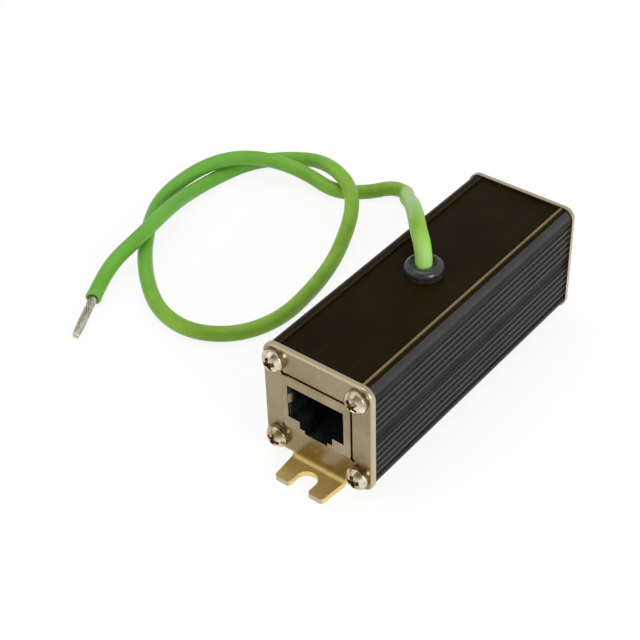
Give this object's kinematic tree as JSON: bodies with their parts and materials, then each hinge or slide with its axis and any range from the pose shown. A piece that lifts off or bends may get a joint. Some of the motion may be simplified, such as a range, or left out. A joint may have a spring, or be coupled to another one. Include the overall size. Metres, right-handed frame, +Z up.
{
  "type": "ethernet surge protector",
  "caption": "In-line surge protector for a network cable: ribbed metal box, shielded sockets at both ends, bent mounting feet and an earth wire.",
  "frame": {"origin": "on the surface the feet stand on, under the middle of the box", "axes": "+Z up, +Y along the tube away from the front socket, +X to the right seen from the front socket"},
  "size_m": [0.0986, 0.0911, 0.0345],
  "materials": {
    "anodised_tube": "dark brown-black anodised, satin",
    "plated_steel": "nickel-plated sheet, fine scuffs",
    "screw_steel": "bright plated",
    "jack_shield_metal": "tin-plated sheet",
    "jack_plastic": "black moulded",
    "contact_gold": "gold-plated",
    "grommet_rubber": "black, slightly glossy",
    "wire_insulation": "green, semi-gloss",
    "tinned_copper": "tinned strands, twisted",
    "circuit_board": "glass-epoxy laminate",
    "gas_tube_ceramic": "white ceramic with metal ends",
    "chip_plastic": "moulded epoxy"
  },
  "bodies": {
    "root": {"housing_extrusion": "anodised_tube", "circuit_board": "circuit_board", "cable_grommet": "grommet_rubber", "earth_lead_inside": "wire_insulation", "earth_wire": "wire_insulation", "earth_wire_conductor": "tinned_copper", "front_end_plate": "plated_steel", "front_jack_shield": "jack_shield_metal", "front_jack_insert": "jack_plastic", "front_screw_1": "screw_steel", "front_screw_2": "screw_steel", "front_screw_3": "screw_steel", "front_screw_4": "screw_steel", "front_contact_1": "contact_gold", "front_contact_2": "contact_gold", "front_contact_3": "contact_gold", "front_contact_4": "contact_gold", "front_contact_5": "contact_gold", "front_contact_6": "contact_gold", "front_contact_7": "contact_gold", "front_contact_8": "contact_gold", "rear_end_plate": "plated_steel", "rear_jack_shield": "jack_shield_metal", "rear_jack_insert": "jack_plastic", "rear_screw_1": "screw_steel", "rear_screw_2": "screw_steel", "rear_screw_3": "screw_steel", "rear_screw_4": "screw_steel", "rear_contact_1": "contact_gold", "rear_contact_2": "contact_gold", "rear_contact_3": "contact_gold", "rear_contact_4": "contact_gold", "rear_contact_5": "contact_gold", "rear_contact_6": "contact_gold", "rear_contact_7": "contact_gold", "rear_contact_8": "contact_gold", "gas_tube_1": "gas_tube_ceramic", "diode_array_1": "chip_plastic", "gas_tube_2": "gas_tube_ceramic", "diode_array_2": "chip_plastic", "gas_tube_3": "gas_tube_ceramic", "diode_array_3": "chip_plastic", "gas_tube_4": "gas_tube_ceramic", "diode_array_4": "chip_plastic"}
  },
  "joints": []
}
